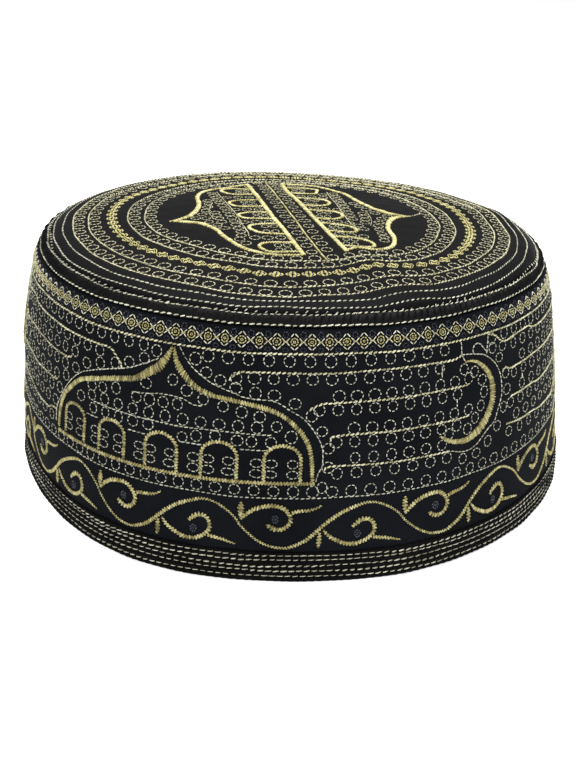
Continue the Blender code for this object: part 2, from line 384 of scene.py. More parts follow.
class Stitches:
    """Threads on one chart, collected to become one mesh. Each goes from a start to an end."""

    def __init__(self, chart):
        self.chart = chart
        self.rows = []

    def add(self, starts, ends, width, height, tone=0.5, spread=0.25):
        count = len(starts)
        widths = np.broadcast_to(width, (count,)) * draw.normal(1.0, 0.06, count)
        heights = np.broadcast_to(height, (count,)) * draw.normal(1.0, 0.06, count)
        tones = np.clip(tone + spread * draw.uniform(-1.0, 1.0, count), 0.0, 1.0)
        self.rows.append(np.column_stack([starts, ends, widths, heights, tones]))

    def run(self, line, dash, gap, width, height, slant=0.0, tone=0.5, wander=0.12):
        """A line of stitches one behind the other. A gap under 0 laps them, and a slant tilts each one."""
        along = lengths_along(self.chart, line)
        count = max(1, round(along[-1] / (dash + gap)))
        pitch = along[-1] / count
        middles = (np.arange(count) + 0.5) * pitch
        length = dash * pitch / (dash + gap) * np.clip(draw.normal(1.0, 0.1, count), 0.75, 1.15)
        starts, ends = (at_lengths(line, along, middles + end * length)[:, :2] for end in (-0.5, 0.5))
        scale = self.chart.scale(0.5 * (starts + ends))
        _, across, _ = courses((ends - starts) * scale)
        sway = wander
        for wave in SWAY_WAVES:
            sway = sway * np.sin(middles * wave + draw.uniform(0.0, LAST_PHASE))
        tilt = 0.5 * slant * (1.0 + 0.25 * draw.normal(size=count))
        low = (sway - tilt + UNEVEN * draw.normal(size=count))[:, None]
        high = (sway + tilt + UNEVEN * draw.normal(size=count))[:, None]
        self.add(starts + across * low / scale, ends + across * high / scale, width, height, tone, 0.38)

    def satin(self, line, pitch, height=0.5, thread=0.5, slant=0.3, tone=0.5, spread=0.45):
        """One close zigzag from edge to edge of a line whose third column is the width."""
        along = lengths_along(self.chart, line)
        count = max(2, round(along[-1] / pitch))
        reach = np.arange(count + 1) * along[-1] / count
        places, ahead, behind = (at_lengths(line, along, reach + step) for step in (0.0, 0.4, -0.4))
        scale = self.chart.scale(places[:, :2])
        course, across, _ = courses((ahead - behind)[:, :2] * scale)
        half = 0.5 * places[:, 2:3] * (1.06 + 0.09 * draw.normal(size=(count + 1, 1)))
        half *= (1.0 - 2.0 * (np.arange(count + 1) % 2))[:, None]
        edge = places[:, :2] + half * (across + slant * course) / scale
        rise = np.clip(0.55 + 0.45 * places[1:, 2] / 1.5, 0.5, 1.25)
        girth = thread * np.clip(0.2 + 0.65 * places[1:, 2], 0.56, 1.0)
        self.add(edge[:-1], edge[1:], girth, height * rise, tone, spread)

    def dashes(self, centres, spans, lean, width, height, tone):
        """Short stitches beside each centre. A span is where one starts and ends, before it leans."""
        lean = np.broadcast_to(lean, (len(centres),))
        for span in spans:
            ends = []
            for x, y in span:
                place = (x * np.cos(lean) - y * np.sin(lean), x * np.sin(lean) + y * np.cos(lean))
                place = np.stack(place, axis=1) + UNEVEN * draw.normal(size=centres.shape)
                ends.append(centres + place / self.chart.scale(centres))
            self.add(*ends, width, height, tone)

    def rings(self, centres, size, dashes=8, gap=0.24, width=0.29, height=0.16, tone=0.5, lean=0.0):
        """Small uneven rings of dashes. Size is half their width and height, and lean turns a long one."""
        centres = np.array(centres, float)[:, :2]
        first = draw.uniform(0.0, 2.0 * math.pi, len(centres))
        wide, high = (half * draw.normal(1.0, 0.05, len(centres)) for half in size)
        step = 2.0 * math.pi / dashes
        spans = []
        for k in range(dashes):
            angles = [first + share * step for share in (k + 0.5 * gap, k + 1 - 0.5 * gap)]
            spans.append([(wide * np.cos(angle), high * np.sin(angle)) for angle in angles])
        self.dashes(centres, spans, lean, width, height, tone)

    def lozenges(self, centres, size, parts, width, height, tone=0.5, lean=0.0):
        """Small lozenges of straight stitches, each side in as many parts as given."""
        corners = np.array([(size[0], 0.0), (0.0, size[1]), (-size[0], 0.0), (0.0, -size[1])])
        spans = []
        for here, there in zip(corners, np.roll(corners, -1, axis=0)):
            for part in range(parts):
                shares = ((part + LOZENGE_TRIM) / parts, (part + 1 - LOZENGE_TRIM) / parts)
                spans.append([here + (there - here) * share for share in shares])
        self.dashes(centres, spans, lean, width, height, tone)

    def piece(self, name, material):
        """All the threads as one mesh of small spindles, each sunk into the cloth at its two ends."""
        rows = np.concatenate(self.rows)
        starts, ends = rows[:, 0:2], rows[:, 2:4]
        widths, heights, tones = rows[:, 4:].T
        scale = self.chart.scale(0.5 * (starts + ends))
        _, across, length = courses((ends - starts) * scale)
        level = np.ones(len(rows))
        points = [starts]
        lifts = [END_SINK * level]
        for share, girth, crest in SPINDLE_RINGS:
            middle = starts + share * (ends - starts)
            side = across / scale * (0.5 * girth * widths)[:, None]
            points += [middle + side, middle, middle - side, middle]
            lifts += [EDGE_LIFT * level, heights * crest, EDGE_LIFT * level, UNDER_SINK * level]
        points.append(ends)
        lifts.append(END_SINK * level)
        shape = self.chart.surface(np.stack(points, axis=1), np.stack(lifts, axis=1))
        base = (np.arange(len(rows)) * shape.shape[1])[:, None, None]
        threes, fours = (base + np.array(faces)[None] for faces in spindle_faces())
        thing = mesh_piece(name, shape.reshape(-1, 3), threes.reshape(-1, 3), fours.reshape(-1, 4), material)
        facts = np.zeros(shape.shape)
        facts[..., 0] = tones[:, None]
        facts[..., 1] = [0.0] + [row[0] for row in SPINDLE_RINGS for _ in range(4)] + [1.0]
        facts[..., 1] *= length
        facts[..., 2] = [0.0] + [-1.0, 0.0, 1.0, 0.0] * len(SPINDLE_RINGS) + [0.0]
        thread = thing.data.attributes.new("thread", "FLOAT_VECTOR", "POINT")
        thread.data.foreach_set("vector", facts.astype(np.float32).ravel())
        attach(thing, BODY)


def spindle_faces():
    """A spindle's triangles at its two ends, and the four-sided faces between them."""
    last = 4 * len(SPINDLE_RINGS) + 1
    threes = [(0, 1 + (k + 1) % 4, 1 + k) for k in range(4)]
    threes += [(last, last - 4 + k, last - 4 + (k + 1) % 4) for k in range(4)]
    fours = []
    for here in range(1, last - 4, 4):
        for k in range(4):
            fours.append((here + k, here + (k + 1) % 4, here + 4 + (k + 1) % 4, here + 4 + k))
    return threes, fours


def placed(name, data):
    """A new object in the scene."""
    thing = bpy.data.objects.new(name, data)
    bpy.context.scene.collection.objects.link(thing)
    return thing


def mesh_piece(name, points, threes, fours, material):
    """A smooth mesh object from arrays of points, triangles and four-sided faces."""
    mesh = bpy.data.meshes.new(name)
    mesh.vertices.add(len(points))
    mesh.vertices.foreach_set("co", np.asarray(points, np.float32).ravel())
    corners = np.concatenate([np.ravel(threes), np.ravel(fours)]).astype(np.int32)
    mesh.loops.add(len(corners))
    mesh.loops.foreach_set("vertex_index", corners)
    starts = np.concatenate([3 * np.arange(len(threes)), 3 * len(threes) + 4 * np.arange(len(fours))])
    mesh.polygons.add(len(starts))
    mesh.polygons.foreach_set("loop_start", starts.astype(np.int32))
    mesh.update(calc_edges=True)
    mesh.validate()
    mesh.shade_smooth()
    mesh.materials.append(material)
    return placed(name, mesh)


# Materials

THREAD_TWIST = 0.75
WEAVE_ROUND = 1500.0
WEAVE_UP = 18000.0
SATIN_PITCH = 0.0003


def linear(red, green, blue):
    """A colour as seen, 0 to 255, in the renderer's own values."""
    values = []
    for value in (red, green, blue):
        share = value / 255.0
        values.append(share / 12.92 if share <= 0.04045 else ((share + 0.055) / 1.055) ** 2.4)
    return (*values, 1.0)


class Nodes:
    """A material and short ways to add its nodes. A value is a number, a colour or another node's output."""

    def __init__(self, name):
        self.material = bpy.data.materials.new(name)
        self.material.use_nodes = True
        self.tree = self.material.node_tree
        self.place = self.node("ShaderNodeTexCoord").outputs["Object"]

    def node(self, kind, inputs=None, **settings):
        node = self.tree.nodes.new(kind)
        for key, value in settings.items():
            setattr(node, key, value)
        self.fill(node, inputs or {})
        return node

    def fill(self, node, inputs):
        for key, value in inputs.items():
            if isinstance(value, bpy.types.NodeSocket):
                self.tree.links.new(value, node.inputs[key])
            else:
                node.inputs[key].default_value = value

    def math(self, operation, first, second=0.0):
        return self.node("ShaderNodeMath", {0: first, 1: second}, operation=operation).outputs[0]

    def plus(self, first, second):
        return self.math("ADD", first, second)

    def times(self, first, second):
        return self.math("MULTIPLY", first, second)

    def sine(self, value):
        return self.math("SINE", value)

    def split(self, vector):
        return self.node("ShaderNodeSeparateXYZ", {0: vector}).outputs

    def noise(self, size, detail=3.0, rough=0.6):
        inputs = {"Vector": self.place, "Scale": size, "Detail": detail, "Roughness": rough}
        return self.node("ShaderNodeTexNoise", inputs).outputs["Fac"]

    def spread(self, value, low, high):
        """A noise's usual range, made to run from low to high."""
        inputs = {"Value": value, "From Min": 0.3, "From Max": 0.7, "To Min": low, "To Max": high}
        return self.node("ShaderNodeMapRange", inputs).outputs["Result"]

    def ramp(self, value, *stops):
        node = self.node("ShaderNodeValToRGB", {"Fac": value})
        elements = node.color_ramp.elements
        while len(elements) < len(stops):
            elements.new(0.5)
        for element, (place, colour) in zip(elements, stops):
            element.position = place
            element.color = colour
        return node.outputs["Color"]

    def bump(self, height, strength, distance):
        inputs = {"Height": height, "Strength": strength, "Distance": distance}
        return self.node("ShaderNodeBump", inputs).outputs["Normal"]

    def finish(self, inputs):
        """The material, with these inputs on its shader."""
        self.fill(self.tree.nodes["Principled BSDF"], inputs)
        return self.material


def weave_of_side(nodes):
    """Plain weave round the cap, from the direction and height of each point."""
    x, y, z = nodes.split(nodes.place)
    turn = nodes.math("ARCTAN2", x, nodes.times(y, -1.0))
    return nodes.times(nodes.sine(nodes.times(turn, WEAVE_ROUND)), nodes.sine(nodes.times(z, WEAVE_UP)))


def weave_of_crown(nodes):
    """Satin weave across the crown: long floats, broken every few threads."""
    x, y, _ = nodes.split(nodes.place)
    step = 2.0 * math.pi / SATIN_PITCH
    floats = nodes.sine(nodes.times(x, step))
    ties = nodes.sine(nodes.times(nodes.plus(y, nodes.times(x, 2.5)), step / 5.0))
    return nodes.plus(nodes.times(floats, 0.7), nodes.times(ties, 0.3))


def cloth_material(name, dark, light, weave, roughness, specular):
    """Dark cloth with its weave, uneven dye and a little lint."""
    nodes = Nodes(name)
    pattern = weave(nodes)
    clouds = nodes.noise(60.0, 4.0)
    lint = nodes.noise(2600.0, 2.0, 0.7)
    shade = nodes.plus(nodes.times(clouds, 0.7), nodes.times(pattern, 0.12))
    shade = nodes.plus(shade, nodes.times(lint, 0.25))
    height = nodes.plus(pattern, nodes.times(lint, 1.4))
    return nodes.finish({
        "Base Color": nodes.ramp(shade, (0.25, linear(*dark)), (0.75, linear(*light))),
        "Roughness": nodes.spread(clouds, roughness - 0.05, roughness + 0.06),
        "Specular IOR Level": specular,
        "Normal": nodes.bump(height, 0.25, 0.00006),
    })


def thread_material(name, deep, middle, bright, roughness, specular, sheen=0.08):
    """Twisted thread: two plies round each other, each stitch of its own tone, and fine fibres."""
    nodes = Nodes(name)
    facts = nodes.node("ShaderNodeAttribute", attribute_name="thread").outputs["Vector"]
    tone, along, across = nodes.split(facts)
    fibre = nodes.noise(5200.0, 2.0, 0.7)
    patch = nodes.noise(90.0)
    turns = nodes.times(along, 2.0 * math.pi / THREAD_TWIST)
    twist = nodes.sine(nodes.plus(turns, nodes.times(across, 1.6)))
    shade = nodes.plus(nodes.times(tone, 0.55), nodes.times(patch, 0.35))
    shade = nodes.plus(shade, nodes.times(twist, 0.07))
    shade = nodes.plus(shade, nodes.times(nodes.math("SUBTRACT", fibre, 0.5), 0.5))
    stops = zip((0.12, 0.5, 0.85), (linear(*deep), linear(*middle), linear(*bright)))
    return nodes.finish({
        "Base Color": nodes.ramp(shade, *stops),
        "Roughness": nodes.spread(fibre, roughness - 0.06, roughness + 0.08),
        "Specular IOR Level": specular,
        "Sheen Weight": sheen,
        "Sheen Roughness": 0.35,
        "Sheen Tint": linear(*bright),
        "Normal": nodes.bump(nodes.plus(twist, nodes.times(fibre, 1.2)), 0.5, 0.00007),
    })


band_cloth = cloth_material("band_cloth", (7, 8, 10), (19, 21, 25), weave_of_side, 0.75, 0.02)
crown_cloth = cloth_material("crown_cloth", (8, 8, 9), (21, 21, 23), weave_of_crown, 0.5, 0.03)
hem_cloth = cloth_material("hem_cloth", (5, 5, 5), (15, 14, 14), weave_of_side, 0.62, 0.02)
piping_cloth = cloth_material("piping_cloth", (5, 5, 6), (18, 17, 17), weave_of_side, 0.42, 0.06)
gold_thread = thread_material("gold_thread", (82, 74, 38), (165, 157, 99), (219, 213, 168), 0.42, 0.4)
crown_gold_thread = thread_material(
    "crown_gold_thread", (106, 98, 50), (190, 182, 119), (232, 226, 174), 0.42, 0.4
)
straw_thread = thread_material("straw_thread", (98, 95, 70), (194, 190, 152), (237, 234, 203), 0.46, 0.35)
pale_thread = thread_material("pale_thread", (110, 110, 96), (182, 182, 162), (224, 224, 208), 0.5, 0.3)
# Eyelet thread: black thread whose grey sheen is painted into its colour, so these greys are painted
# highlight
sheen_painted_black_thread = thread_material("sheen_painted_black_thread", (26, 27, 33), (56, 58, 67), (96, 97, 107), 0.5, 0.2, 0.05)
cream_thread = thread_material("cream_thread", (120, 118, 98), (200, 198, 176), (236, 235, 216), 0.5, 0.3)


# Cloth pieces


def turned_cloth(name, outer, inner, steps_round, material, node, poles=()):
    """A closed wall turned round the cap.

    Outer and inner are sections of points: radius, height, lean and relief. The relief is a function of the
    direction that lifts the outer face, or None on the inner face. A wall that reaches the middle has its
    poles there: the heights of the outer and the inner face.
    """
    turn = np.arange(steps_round) * 2.0 * math.pi / steps_round
    rows = []
    for radius, height, lean, relief in outer + inner:
        rows.append(lifted(turn, radius, height, lean, relief(turn) if relief else np.zeros(steps_round)))
    count = len(rows)
    points = np.concatenate(rows)
    j, i = np.meshgrid(np.arange(count - 1 if poles else count), np.arange(steps_round), indexing="ij")
    after = (i + 1) % steps_round
    below = (j + 1) % count * steps_round
    fours = np.stack([j * steps_round + i, below + i, below + after, j * steps_round + after], axis=-1)
    threes = np.zeros((0, 3), int)
    if poles:
        first = np.arange(steps_round)
        following = (first + 1) % steps_round
        last = (count - 1) * steps_round
        top = np.full(steps_round, len(points))
        foot = [top + 1, last + following, last + first]
        threes = np.concatenate([np.stack([top, first, following], axis=1), np.stack(foot, axis=1)])
        points = np.concatenate([points, settle(np.zeros(2), np.zeros(2), np.array(poles))])
    thing = mesh_piece(name, points, threes, fours.reshape(-1, 4), material)
    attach(thing, BODY)
    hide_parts(node)
    return thing


def held_at(relief, level, share=1.0):
    """A relief, or a share of it, at one height or radius: a function of the direction alone."""
    return lambda turn: share * relief(turn, np.full_like(turn, level))


def fold_section(turn, depth=0.0):
    reach = FOLD_ROUNDING - depth
    return FOLD_CENTRE_RADIUS + reach * math.cos(turn), FOLD_CENTRE_HEIGHT + reach * math.sin(turn), turn


def tucked(radius, height, lean, tuck, relief):
    """A section's point, drawn into the cloth by a tuck."""
    return radius - tuck * math.cos(lean), height - tuck * math.sin(lean), lean, relief


def side_row(height, tuck=0.0):
    radius, lean = side_section(np.array(height))
    return tucked(float(radius), height, float(lean), tuck, held_at(side_relief, height))


def crown_row(radius, tuck=0.0):
    height, lean = crown_section(np.array(radius))
    return tucked(radius, float(height), float(lean), tuck, held_at(crown_relief, radius))


def build_band():
    edge = PIPING_TURN - PIPING_HALF_TURN - SEAM_GAP / FOLD_ROUNDING
    foot = HEM_HEIGHT + SEAM_GAP
    heights = between(FOLD_CENTRE_HEIGHT + FOLD_ROUNDING * math.sin(edge), foot, 78)
    outer = [side_row(heights[0], 0.5)] + [side_row(height) for height in heights[1:-1]]
    outer.append(side_row(heights[-1], 0.15))
    inner = []
    for height in between(foot, FOLD_FOOT, 6):
        inner.append((wall_radius(height) - BAND_CLOTH, height, 0.0, None))
    for turn in between(FOLD_LEAN, edge, 3)[1:]:
        inner.append((*fold_section(turn, BAND_CLOTH), None))
    turned_cloth("band_cloth_wall", outer, inner, 480, band_cloth, "side_band")


def build_crown():
    edge = PIPING_TURN + PIPING_HALF_TURN + SEAM_GAP / FOLD_ROUNDING
    radii = between(1.0, FOLD_CENTRE_RADIUS + FOLD_ROUNDING * math.cos(edge), 72)
    outer = [crown_row(radius) for radius in radii[:-1]] + [crown_row(radii[-1], 0.5)]
    inner = [(*fold_section(turn, CROWN_CLOTH), None) for turn in between(edge, 0.5 * math.pi, 3)]
    for share in between(1.0, 0.0, 6)[1:]:
        height = CAP_HEIGHT + CROWN_RISE * (1.0 - share**2) - CROWN_CLOTH
        inner.append((max(share * FOLD_CENTRE_RADIUS, 1.0), height, 0.5 * math.pi, None))
    poles = (CAP_HEIGHT + CROWN_RISE, CAP_HEIGHT + CROWN_RISE - CROWN_CLOTH)
    turned_cloth("crown_cloth_wall", outer, inner, 440, crown_cloth, "crown_panel", poles)


def build_piping():
    """The strip gathered between the two fold seams, in small slanting pleats."""
    low = PIPING_TURN - PIPING_HALF_TURN
    high = PIPING_TURN + PIPING_HALF_TURN
    sections = [fold_section(high + (low - high) * share) for share in between(0.0, 1.0, 9)]
    outer = [(*section, held_at(side_relief, section[1])) for section in sections]
    inner = [(*fold_section(turn, PIPING_CLOTH), None) for turn in (low, high)]
    turned_cloth("gathered_piping", outer, inner, 1250, piping_cloth, "crown_piping")


def build_hem():
    outer = [side_row(HEM_HEIGHT, 0.1)] + [side_row(height) for height in between(HEM_HEIGHT, 0.5, 26)[1:]]
    radius = wall_radius(0.0)
    outer.append((radius - 0.1, 0.1, 0.0, held_at(side_relief, 0.3, 0.6)))
    outer.append((radius - 0.7, 0.0, 0.0, None))
    inner = [(radius - HEM_CLOTH + 0.4, 0.0, 0.0, None)]
    for height in (0.4, 3.0, 6.0, HEM_HEIGHT):
        inner.append((wall_radius(height) - HEM_CLOTH, height, 0.0, None))
    return turned_cloth("quilted_hem", outer, inner, 1000, hem_cloth, "hem_band")


# Stitches round the whole side

CHAIN_COUNT = 114
CHAIN_START = 0.65
ROW_CORD = {"dash": 1.35, "gap": 0.03, "width": 0.54, "height": 0.4, "slant": 0.4}

# Half the width and height of the rings in the rows, in the lowest row, and of the ovals in the arches
RING = (1.6, 1.6)
LOWER_RING = (1.62, 1.62)
OVAL = (1.7, 1.15)

# The lowest row has this many rings, and one more where its two ends meet, which laps its neighbours
LOWER_COUNT = 110
LOWER_JOIN = (6.2, 28.6)


def ring_line(height, wander=0.0, phase=0.0):
    turn = between(-180.0, 180.0, 720)
    broad = np.sin(np.radians(turn) * 5 + phase)
    fine = np.sin(np.radians(turn) * 13)
    return np.column_stack([turn, height + wander * broad + 0.6 * wander * fine])


def spaced(count, height, first=0.0):
    """Places evenly spaced on the flat cloth, right round the side."""
    turn = worn_turn(first + np.arange(count) * 360.0 / count - 180.0)
    return np.column_stack([turn, np.full(count, height)])


def build_hem_stitches():
    rows = Stitches(Side)
    for height in HEM_SEAMS:
        rows.run(ring_line(height, 0.15, height), 1.9, 0.3, 0.34, 0.3, slant=0.2, wander=0.1)
    rows.piece("hem_stitches", cream_thread)


def build_fold_stitches():
    rows = Stitches(Side)
    rows.run(ring_line(74.35, 0.1), 1.3, 0.4, 0.38, 0.3, slant=0.35, wander=0.3)
    rows.run(ring_line(74.6, 0.15, 1.2), 0.8, 1.9, 0.3, 0.28, slant=0.7, wander=0.4)
    rows.run(ring_line(72.15, 0.06, 2.0), 1.6, 0.3, 0.38, 0.3, slant=0.25, wander=0.15)
    rows.piece("fold_stitches", cream_thread)


def build_band_chain():
    places = spaced(CHAIN_COUNT, CHAIN_HEIGHT, CHAIN_START)
    pale = Stitches(Side)
    pale.lozenges(places, (2.3, 2.2), 2, 0.3, 0.26)
    pale.piece("chain_outlines", cream_thread)
    gold = Stitches(Side)
    gold.rings(places, (1.02, 1.0), gap=0.08, width=0.36, height=0.3, tone=0.62)
    gold.rings(places, (0.36, 0.36), dashes=4, gap=0.1, width=0.28, height=0.3, tone=0.7)
    half_way = CHAIN_START + 180.0 / CHAIN_COUNT
    links = spaced(CHAIN_COUNT, CHAIN_HEIGHT, half_way)
    reach = np.array([0.75, 0.0]) / Side.scale(links)
    gold.add(links - reach, links + reach, 0.42, 0.34)
    gold.piece("chain_hearts", gold_thread)
    black_eyelets = Stitches(Side)
    # Eyelets of black thread above and below the chain, their grey a painted sheen
    black_eyelets.rings(spaced(CHAIN_COUNT, 70.1, half_way), (0.75, 0.9), 6, width=0.3, height=0.2)
    black_eyelets.rings(spaced(CHAIN_COUNT, 66.5, half_way), (0.75, 0.55), 6, width=0.28, height=0.2)
    black_eyelets.piece("chain_eyelets", sheen_painted_black_thread)


def build_band_edges():
    gold = Stitches(Side)
    gold.run(ring_line(TOP_CORD, 0.1, 1.0), 1.35, 0.02, 0.56, 0.42, slant=0.42, tone=0.55)
    gold.piece("band_top_cord", straw_thread)
    rings = Stitches(Side)
    rings.rings(slipped(spaced(LOWER_COUNT, LOWER_RINGS, 0.2)), LOWER_RING)
    rings.rings([LOWER_JOIN], LOWER_RING)
    rings.run(ring_line(LOWER_LINE, 0.15), 1.25, 0.3, 0.34, 0.28, slant=0.1)
    rings.piece("band_edge_rings", pale_thread)


# The dome and crescent. Points are direction and height, and a third column is a width.

DOME_LEFT = (
    (-47.8, 30, 1.2), (-47.7, 34, 1.4), (-47.2, 37.5, 1.5), (-46.8, 39.5, 1.6), (-45.8, 42, 1.7),
    (-44.1, 44.6, 1.8), (-41.8, 47.6, 1.8), (-39, 49.4, 1.8), (-35.6, 51, 1.8), (-32.2, 52.4, 1.9),
    (-28.8, 53.7, 2.1), (-27.2, 54.9, 2.4), (-25.5, 56.7, 2.9), (-24.3, 57.8, 3.1), (-23.2, 59.4, 3),
    (-22.5, 61, 2.4), (-21.8, 62.8, 1.6), (-21.35, 64.5, 0.8),
)
DOME_RIGHT = (
    (-21, 64.5, 0.7), (-20.8, 62.8, 1.3), (-20.5, 61, 2), (-19.7, 58.9, 2.5), (-18.5, 56.9, 2.4),
    (-17.2, 55.3, 2.1), (-15.8, 54.2, 1.9), (-14.1, 53.3, 1.8), (-12.4, 52.8, 1.7), (-9, 52.1, 1.7),
    (-5.6, 51.2, 1.7), (-2.7, 50, 1.7), (0.1, 47.6, 1.7), (2.6, 43.7, 1.7), (3.8, 40.1, 1.6),
    (4.3, 36, 1.5), (4.5, 30.5, 1.4),
)
DOME_BASE = ((-47.9, 29, 1.1), (-30, 29.3, 1.1), (-13, 29.6, 1.15), (4.9, 29.8, 1.2))
DOME_ECHO_RIGHT = (
    (-20, 64.9), (-19, 62.6), (-17.5, 60), (-15.5, 57.8), (-13.2, 56), (-9.8, 54.3), (-7.5, 53.3),
    (-3, 52.8), (-1.5, 52), (0.3, 50.3), (2.8, 48), (4.8, 44.2), (6.1, 39.7), (6.1, 34.8), (5.5, 33),
    (5, 30.2),
)
DOME_ECHO_LEFT = (
    (-23.8, 60.8), (-25.5, 59.5), (-27, 58.3), (-30, 56.2), (-33, 54.9), (-36.5, 53.2), (-39, 51.8),
    (-41.5, 50), (-43.5, 47.6), (-45, 45.3), (-46.2, 43), (-47, 41), (-48.7, 36), (-49, 31),
)
DOME_THREADS = (
    ((-37.7, 43.4), (-2.8, 43.4)),
    ((-39.5, 39), (-36.3, 39)),
    ((-29.4, 39), (-25.6, 39)),
    ((-19, 39), (-15, 39)),
    ((-8.4, 39), (-3.6, 39)),
    ((-29, 50), (-25, 50.7), (-23, 51.2), (-19, 51), (-17, 49.8), (-15.2, 49.8)),
)
DOME_SATIN_SHARE = 0.84

# The dome's arches: left and right leg, and top
ARCHES = (
    (-45.5, -39.8, 40), (-35.85, -30, 40.1), (-25.6, -19.5, 40.5), (-15.1, -8.75, 40.5), (-4, 2.4, 40.6),
)
ARCH_FOOT = 30.0
ARCH_SPRING = 36.6
ARCH_WIDTH = 1.1
OVAL_TURNS = (-44.4, -41, -36.9, -34.7, -31.3, -26.8, -24.5, -20.8, -16.4, -13.8, -10.2, -5.3, -2.8, 1)
OVAL_HEIGHTS = (35.3, 32.3)
CRESCENT = (
    (34.7, 59, 0.5), (37, 58.6, 0.9), (39.2, 56.5, 1.4), (40.9, 53.6, 1.8), (41.8, 50.5, 2.2),
    (42, 47.5, 2.4), (41.6, 44.5, 2.5), (40.5, 41.7, 2.7), (38.9, 39.3, 2.8), (36.8, 37.4, 2.5),
    (34.5, 36.4, 1.8), (32.3, 36.7, 1.5), (30.3, 37.8, 1.2), (28.6, 39.5, 0.6),
)
CRESCENT_ECHO = (
    (33.9, 61.2), (36, 60.8), (38, 60.2), (39.8, 59.4), (41.5, 57.8), (42.9, 56), (44, 53.5), (44.6, 51),
    (44.8, 48), (44.5, 45), (43.2, 41), (42.5, 38.8), (41, 37.6), (39.5, 36.2), (37.1, 33.8), (34.8, 33),
    (33, 33.4), (31, 34.4), (29.2, 34.7),
)
CRESCENT_THREADS = (
    ((33.9, 61.2), (33.9, 65)),
    ((33.9, 61.2), (34.6, 59.3)),
    ((36.9, 60.7), (36.8, 62.3), (37.8, 63.4), (39, 62.6), (40.3, 60.3)),
    ((41.2, 64.6), (40.8, 62), (40.4, 59.6)),
    ((29.3, 59.3), (29.2, 56)),
    ((32.6, 48.9), (32.6, 46.7)),
    ((52.1, 49.2), (52, 47.5)),
)

# Rows of rings: the first and last direction, how many, and the height at each end
RING_ROWS = (
    (-34.9, -5.4, 10, 45.3, 45.3), (-37.7, -25.2, 5, 41.4, 42), (-27.9, -19.8, 4, 48.8, 49.3),
    (-14.6, 29.9, 13, 63.5, 63.5), (-6.2, 28.7, 11, 58.7, 58.7), (8.9, 35.5, 9, 54.1, 54.1),
    (5.4, 32.7, 9, 50.4, 50.4), (11.7, 35.3, 8, 45.1, 45.1), (8.5, 32.4, 8, 41.4, 41.4),
    (12, 29, 6, 36.8, 36.8), (8.8, 30.1, 7, 32.6, 32.6),
)
SINGLE_RINGS = (
    (-38.2, 45), (-2, 45.8), (-18.6, 40.4), (-16.1, 41.3), (-12.7, 42), (-8.8, 41.3), (-6.3, 41.3),
    (-2.9, 41.3), (0.6, 43), (-41.2, 43.3), (-38.3, 47.8), (-35.5, 48.5), (-32.4, 49.6), (-26.1, 53.3),
    (-20.9, 55.7), (-18.2, 53.4), (-15.1, 51.7), (-11.5, 50.4), (-8.2, 49.3), (-5, 48.3), (-16.9, 62.3),
    (-14.8, 59), (-12.2, 57.3), (-9.4, 55.7), (-5.9, 54.6), (-2.6, 54.3), (1.1, 52.2), (4.1, 48.9),
    (6, 44.6), (7.2, 39.8), (7.2, 34.4), (-9.4, 58.3), (-24.4, 62.6), (-26.8, 59.9), (-29.9, 57.9),
    (-33, 56.4), (-36.5, 55), (-40, 53.5), (-43.1, 50.6), (-46.1, 46.8), (-48.2, 42), (-49.6, 37.4),
    (34.4, 57), (37, 55.5), (39, 52.5), (39.5, 48.8), (38.6, 45), (37, 42), (35, 39.5), (30.6, 39.4),
    (42.2, 63.2), (42.3, 60.6), (45.5, 60.1), (44.3, 57.1), (46.2, 51.7), (46.5, 46.7), (45.3, 41.7),
    (43.2, 36.9), (40.4, 33.5), (37.2, 31.3), (33.8, 31),
)
ROW_THREADS = (
    ((-10.8, 57.5), (-9.2, 59.7), (-7, 60.2), (5, 60.4), (20, 60.6), (31, 60.3), (33.9, 61.2)),
    ((3.6, 50.6), (5.2, 51.8), (7.5, 52.4), (20, 52.4), (35.5, 52.4)),
    ((7.5, 41.8), (8.5, 43.2), (20, 43.4), (35.5, 43.4)),
    ((6.4, 33.6), (8, 34.6), (20, 34.6), (30.5, 34.6)),
)

# Rows and threads from the crescent to the next dome: their part beside one, then beside the other
BRIDGE_RINGS = (
    ((46.2, 63.6), (-27.1, 63.5)),
    ((49.3, 59.6), (-36.9, 58.5)),
    ((52.4, 55), (-43.6, 55.2)),
    ((49, 50.8), (-46.6, 50.3)),
    ((51.9, 46.2), (-49.6, 45.6)),
    ((47.6, 42.1), (-51.4, 41.4)),
    ((49.6, 37.8), (-52.8, 37.2)),
    ((46.9, 33.4), (-50.9, 31.9)),
)
BRIDGE_PITCH = 3.42
BRIDGE_THREADS = (
    (
        ((41.1, 64.9), (43.3, 63.9), (45, 61.8), (46.8, 61.2), (50, 61.7), (56, 61.9)),
        ((-60, 60.6), (-40, 60.2), (-34.5, 60.2), (-33.2, 58.8), (-31.7, 57), (-31.3, 55.3)),
    ),
    (
        ((45, 52.4), (46.2, 53.5), (47.6, 52.4), (50, 52.6), (56, 53)),
        ((-60, 52.8), (-47, 52.4), (-44.3, 53.5)),
    ),
    (((47.7, 44), (56, 43.9)), ((-60, 43.3), (-49.2, 43.7))),
    (((46, 36), (50, 35.2), (56, 34.9)), ((-60, 34), (-53, 33.2), (-51, 34.5), (-48.8, 34.8))),
)


def arch_line(left, right, top):
    """Two legs and a round top between them, with a width that is the same all along."""
    middle = 0.5 * (left + right)
    reach = 0.5 * (right - left)
    knee = 0.5 * (ARCH_FOOT + ARCH_SPRING)
    points = [(left, ARCH_FOOT), (left, knee)]
    for angle in np.radians(between(180.0, 0.0, 8)):
        level = ARCH_SPRING + (top - ARCH_SPRING) * math.sin(angle)
        points.append((middle + reach * math.cos(angle), level))
    points += [(right, knee), (right, ARCH_FOOT)]
    return np.column_stack([np.array(points), np.full(len(points), ARCH_WIDTH)])


